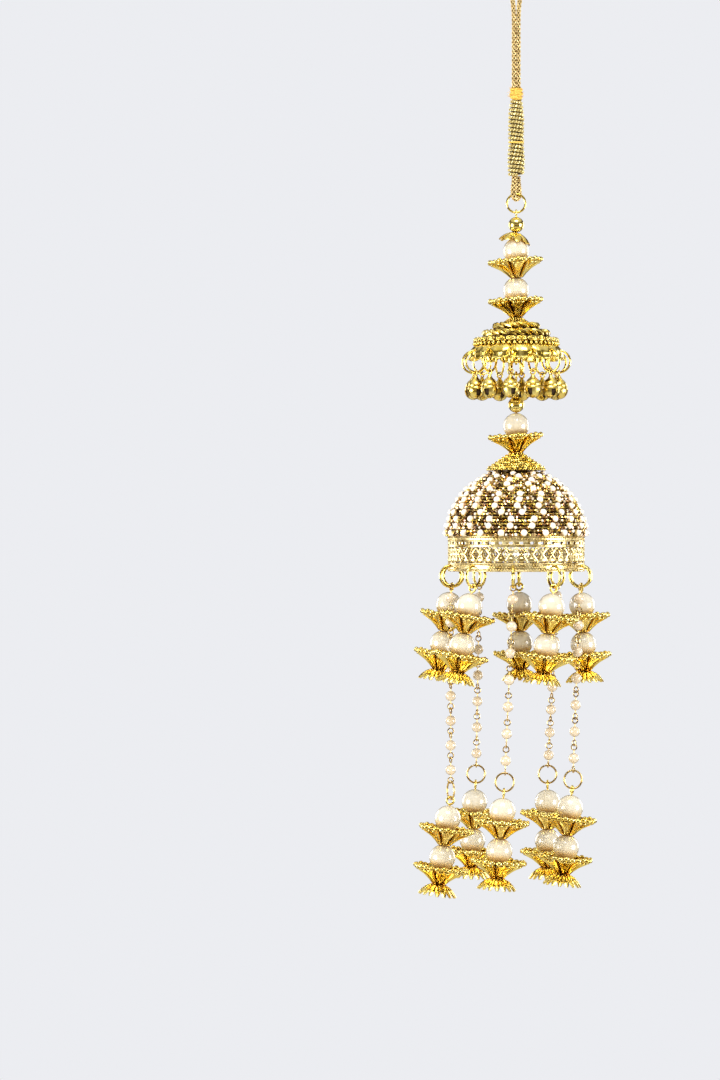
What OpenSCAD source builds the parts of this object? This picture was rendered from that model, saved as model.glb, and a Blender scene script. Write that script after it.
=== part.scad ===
/* [Hanging cord] */
// Thickness of one strand of the braided gold cord
strand_d = 1.45; // [1.2:0.05:1.5]
// Thickness of the strand where it holds the top ring
eye_strand_d = 1.8; // [1.5:0.05:1.8]
// Height of the knot's top, below the point where the loop hangs
knot_top = -37.8; // [-38.5:0.1:-37.5]

/* [Stack of pearls and cups] */
// Diameter of a pearl
pearl_d = 8; // [7.8:0.1:8]
// Diameter over the petals of a cup
cup_d = 17.3; // [16:0.1:17.4]
// Number of petals on a cup
cup_petals = 8; // [6:1:10]
// Diameter over the tips of the flower under a drop
flower_d = 11.5; // [10:0.1:12]
// Number of petals on the flower under a drop
flower_petals = 16; // [12:2:16]
// Thickness of the pins that the pearls are strung on
pin_d = 0.6; // [0.5:0.05:0.65]

/* [Bell tier] */
// Number of bells
bell_count = 12; // [10:1:12]
// Diameter of a bell
bell_d = 5.4; // [4.8:0.1:5.6]
// Distance of the bells from the middle
bell_reach = 13.4; // [13.3:0.05:13.5]
// Outer diameter of the rings that the bells hang on
bell_ring_d = 7.5; // [7.2:0.1:7.6]

/* [Dome] */
// Outer radius of the dome over its rows
dome_r = 22.9; // [22.5:0.1:23]
// Rows of small pearls on the dome
dome_rows = 12; // [10:1:12]
// Outer diameter of the lace band
band_d = 42.4; // [42.2:0.1:42.6]
// Height of the lace band
band_h = 10.9; // [10.5:0.1:11]
// Openings around the lace band in each row
band_openings = 36; // [24:1:38]

/* [Drops] */
// Drops of each kind around the band
drop_count = 5; // [5:1:5]
// Distance of the drops from the middle
drop_reach = 20.95; // [20.9:0.05:21]
// Outer diameter of the rings in the band
band_ring_d = 7.4; // [7.2:0.1:7.5]
// Diameter of a bead on the long chains
chain_bead_d = 3.2; // [2.8:0.1:3.3]

/* [Hidden] */
$fn = 48;
gap = 0.1;
bore_r = 0.42;
pearl_r = pearl_d / 2;

// Heights, measured down from the point where the loop hangs
wrap_bottom = -65.7;
ring_z = -73.65;
ring_r = 2.85;
ring_wire = 0.7;
top_eye_r = 0.875;
top_eye_wire = 0.55;
top_eye_z = ring_z - ring_r - (top_eye_r - top_eye_wire / 2 - ring_wire / 2 - gap);
top_bead_d = 4.8;
top_bead_z = top_eye_z - top_eye_r - top_eye_wire / 2 - gap - top_bead_d / 2;
star_top = top_bead_z - top_bead_d / 2 - gap;
pearl_1_z = -88.4;

// A pearl stands in the cup under it, and the next pearl fills the cup's hollow foot
cup_floor = 4.2;
pearl_over_cup = cup_floor + 0.15 + pearl_r;
cup_over_pearl = sqrt(pearl_r * pearl_r - 1.5 * 1.5) + 0.14;
cup_1_z = pearl_1_z - pearl_over_cup;
pearl_2_z = cup_1_z - cup_over_pearl;
cup_2_z = pearl_2_z - pearl_over_cup;
bell_cone_z = cup_2_z - 0.2;

// Link between the two tiers: eye, ring, eye
eye_r = 1.15;
eye_wire = 0.7;
link_r = 2.1;
link_wire = 0.75;
upper_eye_z = -122.3;
link_z = upper_eye_z - eye_r + (eye_wire + link_wire) / 2 + gap - link_r;
lower_eye_z = link_z - link_r + (eye_wire + link_wire) / 2 + gap - eye_r;
spacer_d = 2.3;
spacer_z = lower_eye_z - eye_r - eye_wire / 2 - gap - spacer_d / 2;
mid_bead_d = 5;
mid_bead_z = spacer_z - 1.5 * spacer_d - 2 * gap - mid_bead_d / 2;
mid_pearl_z = mid_bead_z - mid_bead_d / 2 - gap - pearl_r;
mid_cup_z = mid_pearl_z - pearl_over_cup;

// Bell rings and bells
bell_ring_wire = 0.7;
bell_ring_r = (bell_ring_d - bell_ring_wire) / 2;
bell_hole_z = -119.4;
bell_ring_z = bell_hole_z - bell_ring_r;
bell_z = -131.8;
bell_eye_r = 0.85;
bell_eye_wire = 0.5;
bell_eye_z = bell_ring_z - bell_ring_r + (bell_ring_wire + bell_eye_wire) / 2 + gap - bell_eye_r;
bell_turn = 20;

// Dome, its cap and the lace band
dome_z = -177.9;
dome_shell_r = dome_r - 1;
dome_bottom = -176.7;
row_r = 1.05;
row_step = 5.7;
cap_d = 18.5;
band_top = dome_bottom - gap;
band_bottom = band_top - band_h;
band_wall = 0.9;
band_ring_wire = 0.85;
band_ring_r = (band_ring_d - band_ring_wire) / 2;
band_hole_z = band_bottom + 1.8;
band_ring_z = band_hole_z - band_ring_r;

// Drops: the first short one and the first long one stand at these angles from the front
short_start = 31;
long_start = 67;
drop_step = 360 / drop_count;
drop_eye_z = (band_ring_wire + eye_wire) / 2 + gap - eye_r;
drop_pearl_z = drop_eye_z - eye_r - eye_wire / 2 - gap - pearl_r;
drop_cup_z = drop_pearl_z - pearl_over_cup;
drop_pearl_2_z = drop_cup_z - cup_over_pearl;
drop_cup_2_z = drop_pearl_2_z - pearl_over_cup;

// Lean of each short drop towards the left, in degrees
short_lean = [7, -2, -1, 9, 10];

// One row for each long drop
// Columns: beads, length of the bead chain, lean of the chain, turn of its end, extra lean of the drop
long_drops = [
    [7, 57.3, 2, -55, 4],
    [8, 57.3, 3, 35, -3],
    [7, 57.3, 1, -31, 2],
    [8, 60.8, 0, 8, 8],
    [7, 57.3, 2.5, 5, 2]
];
long_beads = 0;
long_length = 1;
long_lean = 2;
long_turn = 3;
long_drop_lean = 4;

chain_wire = 0.4;
chain_eye_r = 0.9;
chain_hook = 2 * chain_eye_r - chain_wire - gap;
end_ring_r = 2.8;
end_ring_wire = 0.6;

// Route of the hanging loop's left half and of the lower eye's, across and up
loop_route = [
    [-0.75, -37.8], [-0.75, -34], [-0.75, -30], [-0.75, -26], [-0.75, -22],
    [-0.75, -18], [-0.8, -14.5], [-1.0, -11.5], [-1.6, -8.8], [-2.4, -6.1],
    [-3.0, -3.6], [-3.1, -2.3], [-2.85, -1.1], [-2.2, -0.1], [-1.2, 0.5], [0, 0.75]
];
eye_route = [
    [-0.95, -65.7], [-1.1, -67], [-1.5, -68.8], [-1.66, -70.4],
    [-1.45, -71.5], [-0.85, -72.05], [0, -72.25]
];
eye_azimuth = 57;

names_5 = [for (i = [1 : drop_count]) i];

gold = "#d9a92b";
cord_gold = "#cfae4a";
pearl_white = "#f3ece2";
bead_peach = "#f1cfae";

// A route and its mirror image, as one line from end to end
function mirrored(route) = concat(
    route,
    [for (i = [len(route) - 2 : -1 : 0]) [-route[i][0], route[i][1]]]
);

// Round tube of 8 sides along a route that lies in one upright plane
module tube(route, d) {
    sides = 8;
    last = len(route) - 1;
    points = [
        for (i = [0 : last])
            let (
                along = i == 0 ? [0, route[1][1] - route[0][1]]
                    : i == last ? [0, route[last][1] - route[last - 1][1]]
                    : route[i + 1] - route[i - 1],
                n = [along[1], -along[0]] / norm(along)
            )
            for (k = [0 : sides - 1])
                let (a = 360 * k / sides)
                [
                    route[i][0] + d / 2 * cos(a) * n[0],
                    d / 2 * sin(a),
                    route[i][1] + d / 2 * cos(a) * n[1]
                ]
    ];
    walls = [
        for (i = [0 : last - 1], k = [0 : sides - 1])
            [
                i * sides + k,
                i * sides + (k + 1) % sides,
                (i + 1) * sides + (k + 1) % sides,
                (i + 1) * sides + k
            ]
    ];
    ends = [
        [for (k = [sides - 1 : -1 : 0]) k],
        [for (k = [0 : sides - 1]) last * sides + k]
    ];
    polyhedron(points, concat(walls, ends), convexity = 6);
}

// Ring of round wire, lying flat
module wire_ring(r, wire) {
    rotate_extrude() translate([r, 0]) circle(d = wire);
}

// Ring of round wire that stands upright across X
module ring_facing_x(r, wire) {
    rotate([0, 90, 0]) wire_ring(r, wire);
}

// Ring of round wire that stands upright across Y, face on from the front
module ring_facing_y(r, wire) {
    rotate([90, 0, 0]) wire_ring(r, wire);
}

// Points on part of a circle, from one angle to another
function arc(centre, r, from, to) = [
    for (i = [0 : 8])
        let (a = from + (to - from) * i / 8)
        centre + r * [cos(a), sin(a)]
];

// Outline of wires laid side by side along a line, each showing its outer half
function wire_rows(from, to, count, r) =
    let (slope = atan2(to[1] - from[1], to[0] - from[0]))
    [for (i = [0 : count - 1]) each arc(from + (to - from) * (i + 0.5) / count, r, slope + 180, slope)];

// Ball with a hole from top to bottom
module drilled_ball(d, hole_r) {
    difference() {
        sphere(d = d);
        cylinder(r = hole_r, h = d + 2, center = true);
    }
}

// Closed wall of petals round the axis
// Each row holds the radius, the height, and how far the petals push both outwards and upwards
module petal_wall(rows, petals, columns) {
    count = len(rows);
    points = [
        for (c = [0 : columns - 1])
            let (
                a = 360 * c / columns,
                wave = -cos(petals * a)
            )
            for (row = rows)
                let (r = row[0] + row[2] * wave)
                [r * cos(a), r * sin(a), row[1] + row[3] * wave]
    ];
    faces = [
        for (c = [0 : columns - 1], k = [0 : count - 1])
            let (next = (c + 1) % columns)
            each [
                [c * count + k, c * count + (k + 1) % count, next * count + k],
                [next * count + k, c * count + (k + 1) % count, next * count + (k + 1) % count]
            ]
    ];
    polyhedron(points, faces, convexity = 6);
}

// Lotus cup: a hollow foot with a plate of petals, its lower edge at z = 0
module cup() {
    rim = cup_d / 2;
    rotate_extrude() polygon([
        [1.5, 0], [2, 0], [4.1, 2.6], [4.1, cup_floor],
        [bore_r, cup_floor], [bore_r, 3.6], [3.4, 2.9]
    ]);
    petal_wall([
        [3.2, 3.4, 0, 0],
        [rim - 1.65, 4.1, 0.3, 0],
        [rim - 0.25, 5.2, 0.5, 0.15],
        [rim - 0.55, 6.25, 0.5, 0.15],
        [rim - 1.85, 5, 0.3, 0],
        [3.2, 4.05, 0, 0]
    ], cup_petals, 3 * cup_petals);
}

// Flower under a drop, its hub filling the foot of the cup above at z = 0
module flower() {
    tip = flower_d / 2;
    rotate_extrude() polygon([
        [bore_r, 0.3], [1.2, 0.1], [1.6, -0.15], [2.8, -0.7], [2.8, -1.2], [bore_r, -0.4]
    ]);
    petal_wall([
        [2.2, -0.95, 0, 0],
        [3.7, -1.9, 0.1, 0],
        [tip - 0.45, -3.5, 0.35, -0.15],
        [4.1, -1.45, 0.1, 0],
        [2.2, -0.5, 0, 0]
    ], flower_petals, 2 * flower_petals);
}

// Places what hangs at one point of the band, with its origin on the ring's lowest wire
module hang_at_band(angle, lean) {
    rotate([0, 0, angle])
        translate([0, -drop_reach, band_ring_z])
        rotate([lean * sin(angle), 0, 0])
        translate([0, 0, -band_ring_r])
        rotate([0, lean * cos(angle), 0])
        children();
}

// Places a long drop on its end ring, below its chain
module hang_below_chain(i) {
    row = long_drops[i];
    angle = long_start + drop_step * i;
    turned = angle + row[long_turn];
    hang_at_band(angle, row[long_lean])
        translate([0, 0, chain_end_z(i) - end_ring_r])
        rotate([0, 0, row[long_turn]])
        rotate([0, row[long_drop_lean] * cos(turned), 0])
        translate([0, 0, -end_ring_r])
        rotate([row[long_drop_lean] * sin(turned), 0, 0])
        rotate([0, 0, 90])
        translate([0, 0, (end_ring_wire - band_ring_wire) / 2])
        children();
}

// Height of an end ring's highest wire below the band ring's lowest wire
function chain_start_z() = (band_ring_wire + chain_wire) / 2 + gap - chain_eye_r;
function chain_pitch(i) = long_drops[i][long_length] / long_drops[i][long_beads];
function chain_end_z(i) =
    chain_start_z() - long_drops[i][long_length] + chain_hook
    - chain_eye_r + (chain_wire + end_ring_wire) / 2 + gap;

module cord_loop() {
    color(cord_gold)
        tube(mirrored(loop_route), strand_d);
}

module thread_wrap() {
    color(cord_gold)
        rotate_extrude() polygon([
            [0, knot_top], [1.6, knot_top], [2, -38.8], [2, -40.2], [1.7, -41.4],
            [2.2, -43.5], [2.6, -47.5], [2.5, -53.8], [2.35, -54.9], [2.5, -56],
            [2.85, -60.5], [2.6, -64], [2.35, wrap_bottom], [0, wrap_bottom]
        ]);
}

module cord_eye() {
    color(cord_gold)
        rotate([0, 0, eye_azimuth]) tube(mirrored(eye_route), eye_strand_d);
}

module top_ring() {
    color(gold)
        translate([0, 0, ring_z]) ring_facing_y(ring_r, ring_wire);
}

module top_pin() {
    stem_top = top_eye_z - top_eye_r;
    stem_bottom = upper_eye_z + eye_r;
    color(gold) {
        translate([0, 0, top_eye_z]) ring_facing_x(top_eye_r, top_eye_wire);
        translate([0, 0, stem_bottom]) cylinder(d = pin_d, h = stem_top - stem_bottom);
        translate([0, 0, upper_eye_z]) ring_facing_x(eye_r, eye_wire);
    }
}

module gold_bead_top() {
    color(gold)
        translate([0, 0, top_bead_z]) drilled_ball(top_bead_d, bore_r);
}

module star_cap() {
    color(gold)
        translate([0, 0, star_top]) {
            rotate_extrude() polygon([
                [bore_r, 0], [1.1, 0], [2.8, -1.3], [2.8, -1.95], [bore_r, -1.6]
            ]);
            petal_wall([
                [2.2, -1.55, 0, 0],
                [4, -3.3, 0.5, -0.35],
                [3.9, -2.6, 0.5, -0.35],
                [2.2, -1, 0, 0]
            ], 8, 16);
        }
}

module pearl(z) {
    color(pearl_white)
        translate([0, 0, z]) drilled_ball(pearl_d, bore_r);
}

module cup_at(z) {
    color(gold)
        translate([0, 0, z]) cup();
}

// Three rows of wirework on a cone, above the plain skirt that the bells hang from
module bell_cone() {
    row_wire = 1.25;
    color(gold)
        difference() {
            rotate_extrude() polygon(concat(
                [[bore_r, bell_cone_z + 0.7], [1.2, bell_cone_z + 0.5]],
                [[1.6, bell_cone_z], [2.4, bell_cone_z - 0.2]],
                arc([6.2, -111.75], row_wire, 141, -33),
                arc([9.55, -114.05], row_wire, 150, -48),
                arc([12.65, -116.5], row_wire, 153, -94),
                [[14.3, -122.1], [13.7, -122.1], [11.8, -117.7], [11.3, -116.7]],
                [[5.6, -112.2], [bore_r, -110.2]]
            ));
            for (i = [0 : bell_count - 1])
                rotate([0, 0, bell_turn + 360 / bell_count * i]) {
                    translate([0, -10.5, bell_hole_z]) rotate([90, 0, 0]) cylinder(r = 0.65, h = 6);
                    translate([0, -10.5, -122.9]) rotate([90, 0, 0]) cylinder(r = 1.3, h = 6);
                }
        }
}

module bell_rings() {
    color(gold)
        for (i = [0 : bell_count - 1])
            rotate([0, 0, bell_turn + 360 / bell_count * i])
                translate([0, -bell_reach, bell_ring_z])
                ring_facing_x(bell_ring_r, bell_ring_wire);
}

// Hollow bell with crossed slits below, a collar and a wire eye above
module bell() {
    r = bell_d / 2;
    difference() {
        rotate_extrude()
            difference() {
                union() {
                    intersection() {
                        circle(r = r);
                        translate([0, -r]) square([r, 2 * r]);
                    }
                    polygon([[0, 1.9], [1.85, 1.9], [0.85, 3.3], [0.6, 4.6], [0, 4.6]]);
                }
                intersection() {
                    circle(r = r - 0.45);
                    translate([0, -r]) square([r, 2 * r]);
                }
            }
        for (a = [0, 90])
            rotate([0, 0, a]) translate([-0.3, -r - 1, -r - 1]) cube([0.6, 2 * r + 2, r + 1.4]);
    }
    translate([0, 0, bell_eye_z - bell_z]) ring_facing_y(bell_eye_r, bell_eye_wire);
}

module bells() {
    color(gold)
        for (i = [0 : bell_count - 1])
            rotate([0, 0, bell_turn + 360 / bell_count * i])
                translate([0, -bell_reach, bell_z])
                bell();
}

module mid_link() {
    color(gold)
        translate([0, 0, link_z]) ring_facing_y(link_r, link_wire);
}

module mid_pin() {
    stem_top = lower_eye_z - eye_r;
    head_z = dome_z + dome_shell_r - 2.2;
    color(gold) {
        translate([0, 0, lower_eye_z]) ring_facing_x(eye_r, eye_wire);
        translate([0, 0, head_z]) cylinder(d = pin_d, h = stem_top - head_z);
        translate([0, 0, head_z]) sphere(r = 0.9);
    }
}

module spacer_beads() {
    color(gold)
        for (i = [0, 1])
            translate([0, 0, spacer_z - i * (spacer_d + gap)]) drilled_ball(spacer_d, bore_r);
}

module gold_bead_mid() {
    color(gold)
        translate([0, 0, mid_bead_z]) drilled_ball(mid_bead_d, bore_r);
}

// Rings of wire side by side on a cone, and a thicker one round its edge
module dome_cap() {
    top = mid_cup_z - 0.2;
    edge_wire = 0.55;
    edge = [cap_d / 2 - edge_wire, -156];
    color(gold)
        rotate_extrude() polygon(concat(
            [[bore_r, top + 0.7], [1.2, top + 0.5], [1.6, top]],
            wire_rows([1.6, top], edge + [-0.3, 0.5], 7, 0.45),
            arc(edge, edge_wire, 115, -150),
            [[bore_r, top - 0.6]]
        ));
}

module dome() {
    color(pearl_white)
        translate([0, 0, dome_z])
        rotate_extrude()
            difference() {
                union() {
                    circle(r = dome_shell_r, $fn = 160);
                    for (i = [0 : dome_rows - 1])
                        let (a = 84.5 - row_step * i)
                        translate((dome_r - row_r) * [sin(a), cos(a)]) circle(r = row_r);
                }
                circle(r = dome_shell_r - 1.2, $fn = 160);
                translate([-30, -30]) square([30 + bore_r, 60]);
                translate([-1, -30]) square([30, 30 + dome_bottom - dome_z]);
            }
}

// Row of openings through the band, each cut by the child shape
module band_row(z, turn) {
    for (i = [0 : band_openings - 1])
        rotate([0, 0, turn + 360 / band_openings * i])
            translate([0, 3 - band_d / 2, z])
            rotate([90, 0, 0])
            linear_extrude(height = 6) children();
}

module lace_band() {
    step = 180 / band_openings;
    color(gold)
        difference() {
            translate([0, 0, band_bottom])
                difference() {
                    cylinder(d = band_d, h = band_h);
                    translate([0, 0, -1]) cylinder(d = band_d - 2 * band_wall, h = band_h + 2);
                }
            band_row(band_top - 2.1, 0) square([1.9, 0.9], center = true);
            band_row(band_top - 4.6, step) polygon([[-1.35, 0], [0, -1.35], [1.35, 0], [0, 1.35]]);
            band_row(band_top - 6.6, 0) polygon([[-1.1, 0], [0, -1.1], [1.1, 0], [0, 1.1]]);
            for (i = [0 : 2 * drop_count - 1])
                rotate([0, 0, short_start + drop_step / 2 * i])
                    translate([0, 3 - band_d / 2, band_hole_z])
                    rotate([90, 0, 0]) cylinder(r = 0.75, h = 6);
        }
}

module band_rings() {
    color(gold)
        for (i = [0 : 2 * drop_count - 1])
            rotate([0, 0, short_start + drop_step / 2 * i])
                translate([0, -drop_reach, band_ring_z])
                ring_facing_x(band_ring_r, band_ring_wire);
}

// Pin of a drop: an eye, a stem and a ball under the flower
module drop_pin() {
    stem_top = drop_eye_z - eye_r;
    head_z = drop_cup_2_z - 1.3;
    color(gold) {
        translate([0, 0, drop_eye_z]) ring_facing_y(eye_r, eye_wire);
        translate([0, 0, head_z]) cylinder(d = pin_d, h = stem_top - head_z);
        translate([0, 0, head_z]) sphere(r = 0.75);
    }
}

module drop_pearls() {
    pearl(drop_pearl_z);
    pearl(drop_pearl_2_z);
}

module drop_cups() {
    cup_at(drop_cup_z);
    cup_at(drop_cup_2_z);
    color(gold)
        translate([0, 0, drop_cup_2_z]) flower();
}

// Bead on a wire with an eye at each end, the upper eye across Y and the lower across X
module chain_unit(half) {
    neck = half - chain_eye_r;
    color(bead_peach) drilled_ball(chain_bead_d, 0.32);
    color(gold) {
        translate([0, 0, half]) ring_facing_y(chain_eye_r, chain_wire);
        translate([0, 0, -neck]) cylinder(d = 0.34, h = 2 * neck);
        translate([0, 0, -half]) ring_facing_x(chain_eye_r, chain_wire);
    }
}

// Beads on the way from the band to the end ring, each turned a little more than the last
module chain(i) {
    beads = long_drops[i][long_beads];
    turn = long_drops[i][long_turn];
    pitch = chain_pitch(i);
    half = (pitch - chain_hook) / 2;
    hang_at_band(long_start + drop_step * i, long_drops[i][long_lean]) {
        for (k = [0 : beads - 1])
            translate([0, 0, chain_start_z() - half - k * pitch])
                rotate([0, 0, turn * k / beads])
                chain_unit(half);
        color(gold)
            translate([0, 0, chain_end_z(i) - end_ring_r])
            rotate([0, 0, turn])
            ring_facing_y(end_ring_r, end_ring_wire);
    }
}

cord_loop();
thread_wrap();
cord_eye();
top_ring();
top_pin();
gold_bead_top();
star_cap();
pearl(pearl_1_z);  // pearl_top_1
cup_at(cup_1_z);  // cup_top_1
pearl(pearl_2_z);  // pearl_top_2
cup_at(cup_2_z);  // cup_top_2
bell_cone();
bell_rings();
bells();
mid_link();
mid_pin();
spacer_beads();
gold_bead_mid();
pearl(mid_pearl_z);  // pearl_mid
cup_at(mid_cup_z);  // cup_mid
dome_cap();
dome();
lace_band();
band_rings();
for (i = [0 : drop_count - 1]) {
    hang_at_band(short_start + drop_step * i, short_lean[i]) drop_pin();
    hang_at_band(short_start + drop_step * i, short_lean[i]) drop_pearls();
    hang_at_band(short_start + drop_step * i, short_lean[i]) drop_cups();
    chain(i);
    hang_below_chain(i) drop_pin();
    hang_below_chain(i) drop_pearls();
    hang_below_chain(i) drop_cups();
}
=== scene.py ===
import math
import random

import bmesh
import bpy
from mathutils import Matrix, Vector


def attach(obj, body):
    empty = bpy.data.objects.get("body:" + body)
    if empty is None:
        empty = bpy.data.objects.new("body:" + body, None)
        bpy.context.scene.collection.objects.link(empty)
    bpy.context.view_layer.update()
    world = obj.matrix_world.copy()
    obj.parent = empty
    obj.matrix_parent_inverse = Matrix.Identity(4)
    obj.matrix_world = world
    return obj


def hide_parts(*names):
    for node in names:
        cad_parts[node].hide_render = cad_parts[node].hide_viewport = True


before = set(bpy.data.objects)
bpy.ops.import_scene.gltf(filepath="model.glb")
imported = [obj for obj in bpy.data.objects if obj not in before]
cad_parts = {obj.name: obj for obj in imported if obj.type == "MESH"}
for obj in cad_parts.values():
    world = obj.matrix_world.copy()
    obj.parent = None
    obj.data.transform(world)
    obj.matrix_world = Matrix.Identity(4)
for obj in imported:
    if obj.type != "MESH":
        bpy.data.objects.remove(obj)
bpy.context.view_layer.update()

scene = bpy.context.scene
scene.view_settings.view_transform = "Standard"


# Camera: level and straight from the front, a little over a metre away. It stands to the left
# of the ornament, which hangs right of the middle of the picture.
MIDDLE_Z = -0.178
camera = bpy.data.objects.new("camera", bpy.data.cameras.new("camera"))
camera.data.sensor_width = 36
camera.data.lens = 118.3
camera.location = (-0.0484, -1.1, MIDDLE_Z)
camera.rotation_euler = (math.radians(90), 0, 0)
scene.collection.objects.link(camera)
scene.camera = camera


# Studio: a pale floor far below the hanging ornament and pale surroundings. Soft boxes stand at
# either side, overhead and behind, and the metal mirrors dark walls between them. A warm fill
# light beside the camera reaches the pearls in the shade, and the metal does not mirror it.
PALE = (0.838, 0.847, 0.880, 1)
floor_reach, floor_z = 6, -0.75
floor_shape = bmesh.new()
bmesh.ops.create_circle(floor_shape, cap_ends=True, segments=64, radius=floor_reach)
bmesh.ops.translate(floor_shape, vec=(0, 0, floor_z), verts=floor_shape.verts)
floor_mesh = bpy.data.meshes.new("floor")
floor_shape.to_mesh(floor_mesh)
floor_shape.free()
floor = bpy.data.objects.new("floor", floor_mesh)
scene.collection.objects.link(floor)
pale_paper = bpy.data.materials.new("pale_paper")
pale_paper.use_nodes = True
paper = pale_paper.node_tree.nodes["Principled BSDF"]
paper.inputs["Base Color"].default_value = (0, 0, 0, 1)
paper.inputs["Specular IOR Level"].default_value = 0
paper.inputs["Emission Color"].default_value = PALE
paper.inputs["Emission Strength"].default_value = 1
floor_mesh.materials.append(pale_paper)
floor.visible_glossy = False
floor.visible_diffuse = False



def colour_steps(nodes, stops):
    """A ramp of colours; each stop is its place from 0 to 1, then red, green and blue."""
    ramp = nodes.new("ShaderNodeValToRGB")
    elements = ramp.color_ramp.elements
    for i, (place, *colour) in enumerate(stops):
        stop = elements[i] if i < 2 else elements.new(place)
        stop.position = place
        stop.color = (*colour, 1)
    return ramp


world = bpy.data.worlds.new("studio")
scene.world = world
world.use_nodes = True
nodes, links = world.node_tree.nodes, world.node_tree.links
nodes.clear()
direction = nodes.new("ShaderNodeTexCoord")
split = nodes.new("ShaderNodeSeparateXYZ")
links.new(direction.outputs["Generated"], split.inputs[0])
height = nodes.new("ShaderNodeMapRange")
height.inputs["From Min"].default_value = -1
links.new(split.outputs["Z"], height.inputs["Value"])
walls = colour_steps(nodes, [
    # from straight down to straight up
    (0.00, 0.95, 0.92, 0.86), (0.20, 0.85, 0.80, 0.70), (0.29, 0.09, 0.055, 0.015),
    (0.39, 0.05, 0.03, 0.01), (0.45, 0.58, 0.46, 0.26), (0.55, 0.58, 0.46, 0.26),
    (0.61, 0.05, 0.03, 0.01), (0.73, 0.07, 0.045, 0.015), (0.82, 0.82, 0.78, 0.70),
    (1.00, 0.95, 0.93, 0.88),
])
links.new(height.outputs[0], walls.inputs[0])
room = nodes.new("ShaderNodeBackground")
room.inputs["Strength"].default_value = 0.8
links.new(walls.outputs[0], room.inputs[0])
seen = nodes.new("ShaderNodeBackground")
seen.inputs["Color"].default_value = PALE
path = nodes.new("ShaderNodeLightPath")
either = nodes.new("ShaderNodeMixShader")
links.new(path.outputs["Is Camera Ray"], either.inputs[0])
links.new(room.outputs[0], either.inputs[1])
links.new(seen.outputs[0], either.inputs[2])
sky = nodes.new("ShaderNodeOutputWorld")
links.new(either.outputs[0], sky.inputs[0])

middle = Vector((0, 0, MIDDLE_Z))
soft_boxes = [
    # name, degrees round from the front, degrees up, distance, width, height, watts
    ("left_box", -66, -2, 1.0, 0.5, 0.5, 9),
    ("right_box", 66, -2, 1.0, 0.5, 0.5, 9),
    ("top_box", 0, 58, 1.1, 0.6, 0.4, 6),
    ("back_left_box", -140, 5, 1.1, 0.4, 0.6, 3),
    ("back_right_box", 140, 5, 1.1, 0.4, 0.6, 3),
    ("front_fill", -8, -4, 1.3, 0.7, 0.9, 8),
]
for name, azimuth, rise, far, wide, tall, watts in soft_boxes:
    data = bpy.data.lights.new(name, "AREA")
    data.shape = "RECTANGLE"
    data.size, data.size_y, data.energy = wide, tall, watts
    box = bpy.data.objects.new(name, data)
    a, e = math.radians(azimuth), math.radians(rise)
    away = Vector((math.sin(a) * math.cos(e), -math.cos(a) * math.cos(e), math.sin(e)))
    box.location = middle + away * far
    box.rotation_euler = away.to_track_quat("Z", "Y").to_euler()
    box.visible_camera = False
    if name == "front_fill":
        box.visible_glossy = False
        data.color = (1.0, 0.88, 0.70)
    scene.collection.objects.link(box)


# Hanging cord: a closed loop of thin round cord, plaited from eight metallic gold yarns, four
# each way, over a core. Both legs come out of the knot side by side and go up to the loop.
MM = 0.001
ACROSS_LOOP = Vector((0, 1, 0))
loop_route = [
    (-0.67, -37.8), (-0.67, -34), (-0.67, -30), (-0.67, -26), (-0.67, -22),
    (-0.67, -18), (-0.75, -14.5), (-1.0, -11.5), (-1.6, -8.8), (-2.4, -6.1),
    (-3.0, -3.6), (-3.1, -2.3), (-2.85, -1.1), (-2.2, -0.1), (-1.2, 0.5), (0, 0.75),
]


def both_halves(route):
    """A route's left half and its mirror image, as one line from end to end."""
    return route + [(-x, z) for x, z in reversed(route[:-1])]


def even_line(points, step):
    """A smooth line through the points, cut into equal steps."""
    fine = []
    finer = 12
    for i in range(len(points) - 1):
        a, b = points[max(i - 1, 0)], points[i]
        c, d = points[i + 1], points[min(i + 2, len(points) - 1)]
        for k in range(finer):
            t = k / finer
            fine.append(
                0.5 * (2 * b + (c - a) * t + (2 * a - 5 * b + 4 * c - d) * t * t
                       + (3 * b - a - 3 * c + d) * t * t * t)
            )
    fine.append(points[-1])
    total = sum((b - a).length for a, b in zip(fine, fine[1:]))
    count = max(2, round(total / step))
    line, gone, here = [fine[0]], 0.0, 0
    for n in range(1, count):
        target = total * n / count
        while gone + (fine[here + 1] - fine[here]).length < target:
            gone += (fine[here + 1] - fine[here]).length
            here += 1
        a, b = fine[here], fine[here + 1]
        line.append(a.lerp(b, (target - gone) / (b - a).length))
    line.append(fine[-1])
    return line


def wires(lines, thickness, sides=6, closed=False):
    """A made shape of round wires that follow the lines, in millimetres."""
    curve = bpy.data.curves.new("wires", "CURVE")
    curve.dimensions = "3D"
    curve.bevel_depth = thickness / 2
    curve.bevel_resolution = (sides - 4) // 2
    curve.use_fill_caps = not closed
    for line in lines:
        spline = curve.splines.new("POLY")
        spline.points.add(len(line) - 1)
        for point, at in zip(spline.points, line):
            point.co = (at[0], at[1], at[2], 1)
        spline.use_cyclic_u = closed
    holder = bpy.data.objects.new("wires", curve)
    shape = bpy.data.meshes.new_from_object(holder)
    bpy.data.objects.remove(holder)
    bpy.data.curves.remove(curve)
    return shape


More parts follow.
